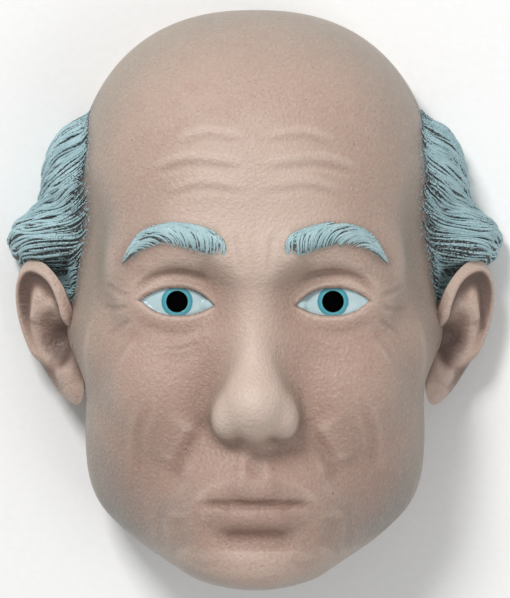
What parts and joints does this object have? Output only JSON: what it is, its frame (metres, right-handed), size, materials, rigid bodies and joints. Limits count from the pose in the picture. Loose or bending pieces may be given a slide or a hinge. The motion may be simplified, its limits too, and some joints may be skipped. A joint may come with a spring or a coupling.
{
  "type": "costume mask",
  "caption": "Hollow latex costume mask of a calm, bald old man with tufts of side hair, ears, brows and open eye holes, lying on its open back.",
  "frame": {"origin": "middle of the mask's width and height, on the flat plane of the rim it lies on", "axes": "+Z out of the face towards the viewer, +Y from chin to crown, +X towards the mask's own left ear"},
  "size_m": [0.2184, 0.25, 0.12],
  "materials": {
    "painted_latex": "satin-matte painted latex"
  },
  "bodies": {
    "root": {"latex_mask": "painted_latex"}
  },
  "joints": []
}
